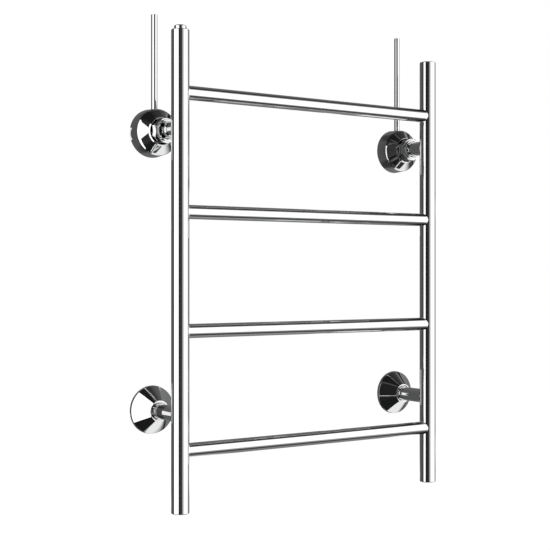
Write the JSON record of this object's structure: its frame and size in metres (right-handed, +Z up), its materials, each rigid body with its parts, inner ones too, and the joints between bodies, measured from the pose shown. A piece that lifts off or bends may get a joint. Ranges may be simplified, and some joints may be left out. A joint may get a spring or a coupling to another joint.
{
  "type": "ladder towel warmer",
  "caption": "Wall-hung water-heated ladder towel warmer: chromed uprights and rungs, wall unions under deep cups, brackets under conical rosettes, and an air vent.",
  "frame": {"origin": "middle of the four wall fixings, on the wall plane (the middle of the outer screw-hole rectangle)", "axes": "+X along the rungs, to the right as seen from the room; +Y into the wall; +Z up"},
  "size_m": [0.577, 0.108, 0.796],
  "materials": {
    "chrome_tube": "mirror-polished chrome plating on tube",
    "chrome_fitting": "mirror-polished chrome plating on turned and pressed brass",
    "brass_core": "machined brass",
    "zinc_plate": "bright zinc-plated steel",
    "steel_part": "stainless steel",
    "rubber_seal": "matt black rubber",
    "nylon_washer": "natural nylon"
  },
  "bodies": {
    "rack": {"rung_1": "chrome_tube", "rung_2": "chrome_tube", "rung_3": "chrome_tube", "rung_4": "chrome_tube", "right_top_end_plug": "chrome_tube", "vent_boss": "brass_core", "vent_body": "brass_core", "vent_washer": "rubber_seal", "left_upright": "chrome_tube", "left_bottom_end_plug": "chrome_tube", "left_backing_plate": "zinc_plate", "left_wall_elbow": "brass_core", "left_union_gasket": "rubber_seal", "left_inlet_stub": "chrome_tube", "left_feed_pipe": "chrome_tube", "left_olive": "brass_core", "left_wall_socket": "zinc_plate", "left_bracket_arm": "chrome_tube", "right_upright": "chrome_tube", "right_bottom_end_plug": "chrome_tube", "right_backing_plate": "zinc_plate", "right_wall_elbow": "brass_core", "right_union_gasket": "rubber_seal", "right_inlet_stub": "chrome_tube", "right_feed_pipe": "chrome_tube", "right_olive": "brass_core", "right_wall_socket": "zinc_plate", "right_bracket_arm": "chrome_tube"},
    "left_slip_ring_body": {"left_slip_washer": "nylon_washer"},
    "left_nut_body": {"left_union_nut": "chrome_fitting"},
    "left_cup_body": {"left_cover_cup": "chrome_fitting"},
    "left_pipe_nut_body": {"left_pipe_nut": "brass_core"},
    "left_rosette_body": {"left_rosette": "chrome_fitting", "left_friction_ring": "rubber_seal"},
    "left_grub_body": {"left_grub_screw": "steel_part"},
    "right_slip_ring_body": {"right_slip_washer": "nylon_washer"},
    "right_nut_body": {"right_union_nut": "chrome_fitting"},
    "right_cup_body": {"right_cover_cup": "chrome_fitting"},
    "right_pipe_nut_body": {"right_pipe_nut": "brass_core"},
    "right_rosette_body": {"right_rosette": "chrome_fitting", "right_friction_ring": "rubber_seal"},
    "right_grub_body": {"right_grub_screw": "steel_part"},
    "vent_ring_body": {"vent_o_ring": "rubber_seal"},
    "vent_needle_body": {"vent_needle": "steel_part"},
    "vent_cap_body": {"vent_cap": "chrome_fitting"}
  },
  "joints": [
    {"name": "left_nut_travel", "type": "slide", "parent": "rack", "child": "left_slip_ring_body", "axis": [0, -1, 0], "range_m": [0, 0.012]},
    {"name": "left_nut_turn", "type": "hinge", "parent": "left_slip_ring_body", "child": "left_nut_body", "pos_m": [-0.25, -0.042, 0.22], "axis": [0, -1, 0], "range_deg": [0, 1870]},
    {"name": "left_cup_slide", "type": "slide", "parent": "rack", "child": "left_cup_body", "axis": [0, -1, 0], "range_m": [0, 0.04]},
    {"name": "left_pipe_nut_turn", "type": "hinge", "parent": "rack", "child": "left_pipe_nut_body", "pos_m": [-0.25, -0.01, 0.244], "axis": [0, 0, 1], "range_deg": [0, 720]},
    {"name": "left_rosette_slide", "type": "slide", "parent": "rack", "child": "left_rosette_body", "axis": [0, -1, 0], "range_m": [0, 0.04]},
    {"name": "left_grub_turn", "type": "hinge", "parent": "rack", "child": "left_grub_body", "pos_m": [-0.25, -0.012, -0.2305], "axis": [0, 0, -1], "range_deg": [0, 720]},
    {"name": "right_nut_travel", "type": "slide", "parent": "rack", "child": "right_slip_ring_body", "axis": [0, -1, 0], "range_m": [0, 0.012]},
    {"name": "right_nut_turn", "type": "hinge", "parent": "right_slip_ring_body", "child": "right_nut_body", "pos_m": [0.25, -0.042, 0.22], "axis": [0, -1, 0], "range_deg": [0, 1870]},
    {"name": "right_cup_slide", "type": "slide", "parent": "rack", "child": "right_cup_body", "axis": [0, -1, 0], "range_m": [0, 0.04]},
    {"name": "right_pipe_nut_turn", "type": "hinge", "parent": "rack", "child": "right_pipe_nut_body", "pos_m": [0.25, -0.01, 0.244], "axis": [0, 0, 1], "range_deg": [0, 720]},
    {"name": "right_rosette_slide", "type": "slide", "parent": "rack", "child": "right_rosette_body", "axis": [0, -1, 0], "range_m": [0, 0.04]},
    {"name": "right_grub_turn", "type": "hinge", "parent": "rack", "child": "right_grub_body", "pos_m": [0.25, -0.012, -0.2305], "axis": [0, 0, -1], "range_deg": [0, 720]},
    {"name": "needle_travel", "type": "slide", "parent": "rack", "child": "vent_ring_body", "axis": [0, 0, 1], "range_m": [0, 0.001]},
    {"name": "needle_turn", "type": "hinge", "parent": "vent_ring_body", "child": "vent_needle_body", "pos_m": [-0.25, -0.094, 0.368], "axis": [0, 0, 1], "range_deg": [0, 515]},
    {"name": "vent_cap_lift_off", "type": "slide", "parent": "rack", "child": "vent_cap_body", "axis": [0, 0, 1], "range_m": [0, 0.015]}
  ],
  "couplings": [
    {"joint": "left_nut_travel", "follows": "left_nut_turn", "m_per_rad": 0.00036749},
    {"joint": "right_nut_travel", "follows": "right_nut_turn", "m_per_rad": 0.00036749},
    {"joint": "needle_turn", "follows": "needle_travel", "rad_per_m": 8976}
  ]
}
